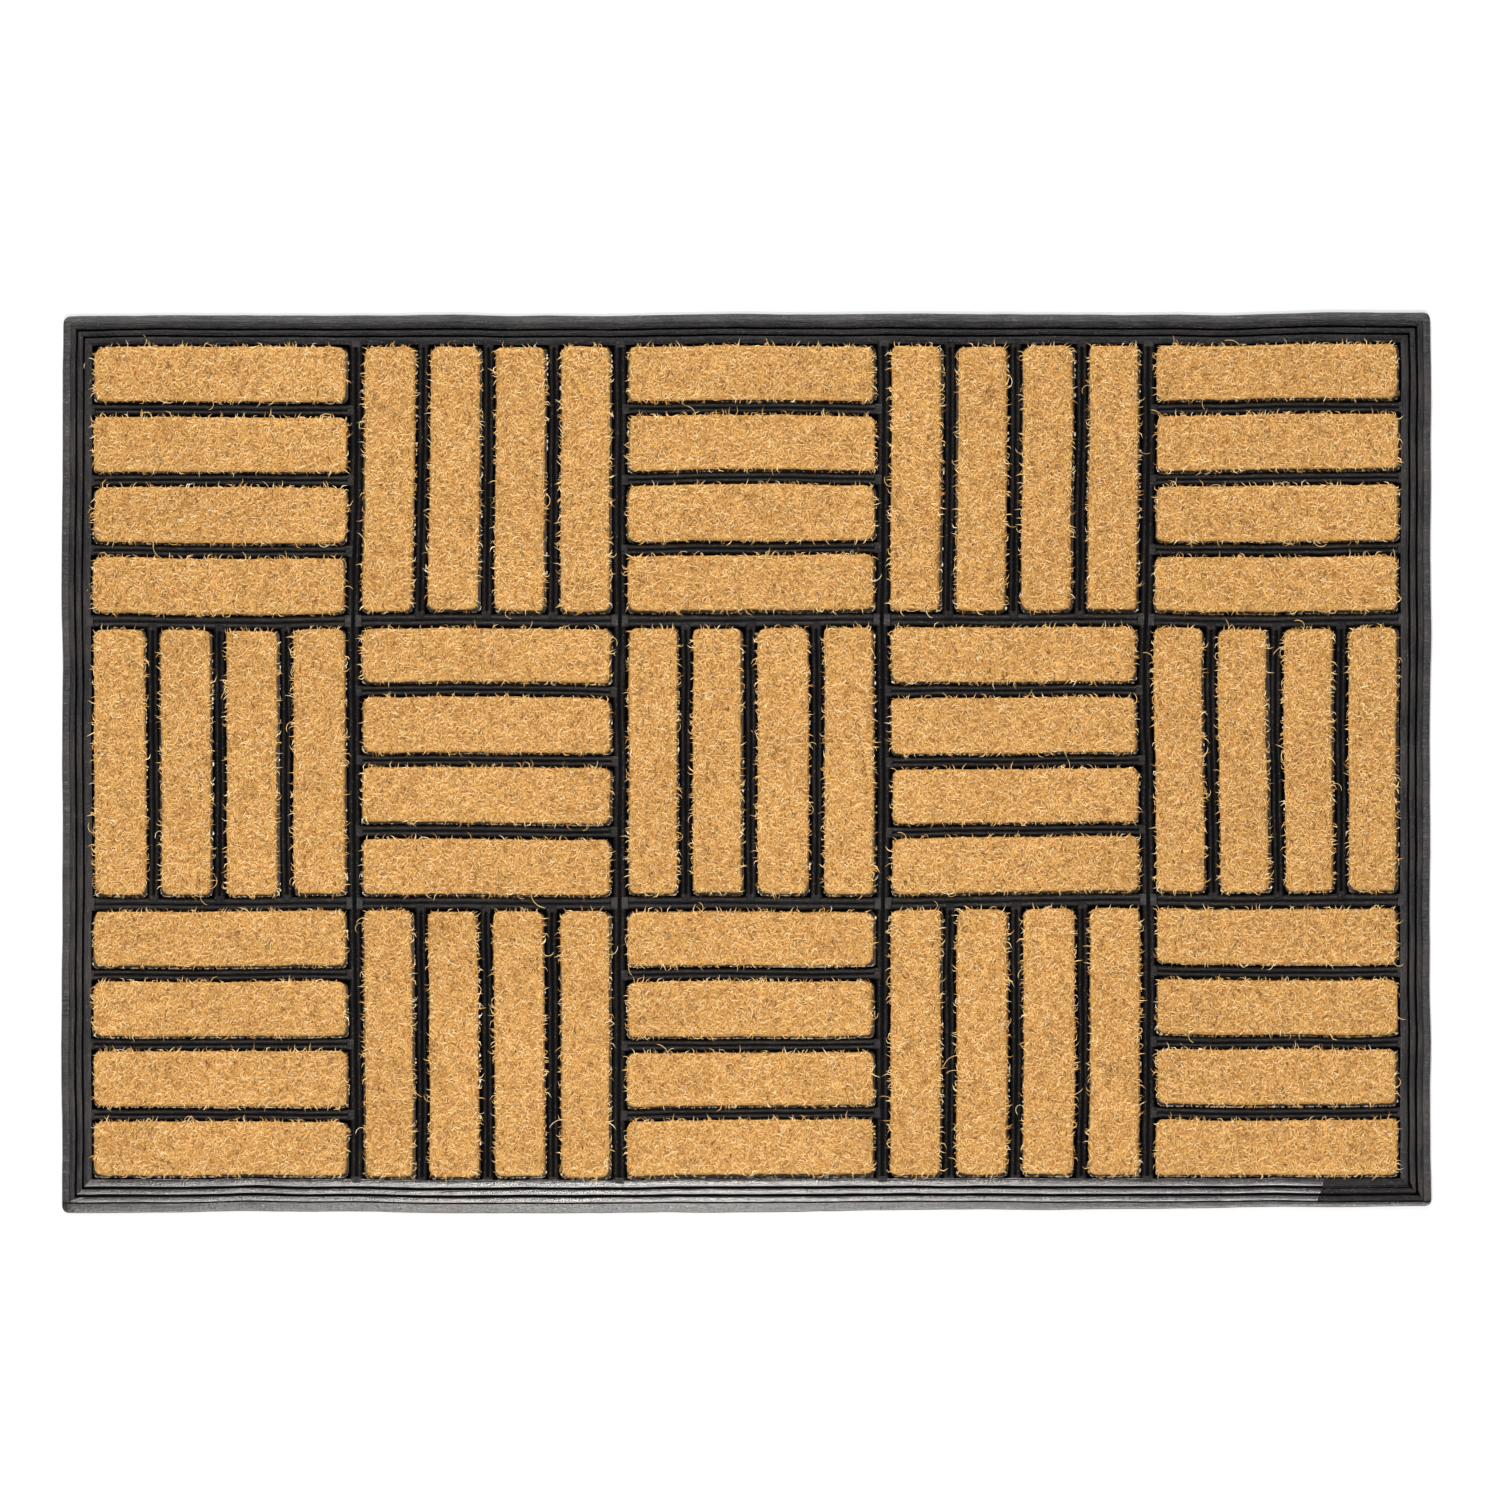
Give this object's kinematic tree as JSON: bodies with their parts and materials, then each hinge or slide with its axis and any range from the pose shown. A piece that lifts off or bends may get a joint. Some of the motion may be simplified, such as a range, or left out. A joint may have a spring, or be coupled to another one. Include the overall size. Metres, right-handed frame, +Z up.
{
  "type": "door mat",
  "caption": "Flat door mat: strips of coir pile in a basket-weave pattern, set in a black rubber tray with beaded ribs and a stepped border ramp.",
  "frame": {"origin": "middle of the underside of the mat, on the floor plane", "axes": "+X along the long side, +Y away from the side with the scarf joint in its border ramp, +Z up out of the pile"},
  "size_m": [0.6, 0.393, 0.011],
  "materials": {
    "sheet_rubber": "matt, dusty grey-brown moulded rubber",
    "border_rubber": "satin blue-black moulded rubber",
    "rib_rubber": "dull black moulded rubber",
    "coir_pile": "brush-cut golden coir fibre",
    "pile_backing": "latexed coir tuft roots, cut edge showing"
  },
  "bodies": {
    "root": {"backing_sheet": "sheet_rubber", "border_back": "border_rubber", "border_front": "border_rubber", "border_front_filler": "border_rubber", "border_left": "border_rubber", "border_right": "border_rubber", "coir_piles_row1_col1": "coir_pile", "coir_piles_row1_col2": "coir_pile", "coir_piles_row1_col3": "coir_pile", "coir_piles_row1_col4": "coir_pile", "coir_piles_row1_col5": "coir_pile", "coir_piles_row2_col1": "coir_pile", "coir_piles_row2_col2": "coir_pile", "coir_piles_row2_col3": "coir_pile", "coir_piles_row2_col4": "coir_pile", "coir_piles_row2_col5": "coir_pile", "coir_piles_row3_col1": "coir_pile", "coir_piles_row3_col2": "coir_pile", "coir_piles_row3_col3": "coir_pile", "coir_piles_row3_col4": "coir_pile", "coir_piles_row3_col5": "coir_pile", "cross_divider_1": "rib_rubber", "cross_divider_2": "rib_rubber", "long_divider_1": "rib_rubber", "long_divider_2": "rib_rubber", "long_divider_3": "rib_rubber", "long_divider_4": "rib_rubber", "pile_backings_row1_col1": "pile_backing", "pile_backings_row1_col2": "pile_backing", "pile_backings_row1_col3": "pile_backing", "pile_backings_row1_col4": "pile_backing", "pile_backings_row1_col5": "pile_backing", "pile_backings_row2_col1": "pile_backing", "pile_backings_row2_col2": "pile_backing", "pile_backings_row2_col3": "pile_backing", "pile_backings_row2_col4": "pile_backing", "pile_backings_row2_col5": "pile_backing", "pile_backings_row3_col1": "pile_backing", "pile_backings_row3_col2": "pile_backing", "pile_backings_row3_col3": "pile_backing", "pile_backings_row3_col4": "pile_backing", "pile_backings_row3_col5": "pile_backing", "short_ribs_row1_col1": "rib_rubber", "short_ribs_row1_col2": "rib_rubber", "short_ribs_row1_col3": "rib_rubber", "short_ribs_row1_col4": "rib_rubber", "short_ribs_row1_col5": "rib_rubber", "short_ribs_row2_col1": "rib_rubber", "short_ribs_row2_col2": "rib_rubber", "short_ribs_row2_col3": "rib_rubber", "short_ribs_row2_col4": "rib_rubber", "short_ribs_row2_col5": "rib_rubber", "short_ribs_row3_col1": "rib_rubber", "short_ribs_row3_col2": "rib_rubber", "short_ribs_row3_col3": "rib_rubber", "short_ribs_row3_col4": "rib_rubber", "short_ribs_row3_col5": "rib_rubber"}
  },
  "joints": []
}
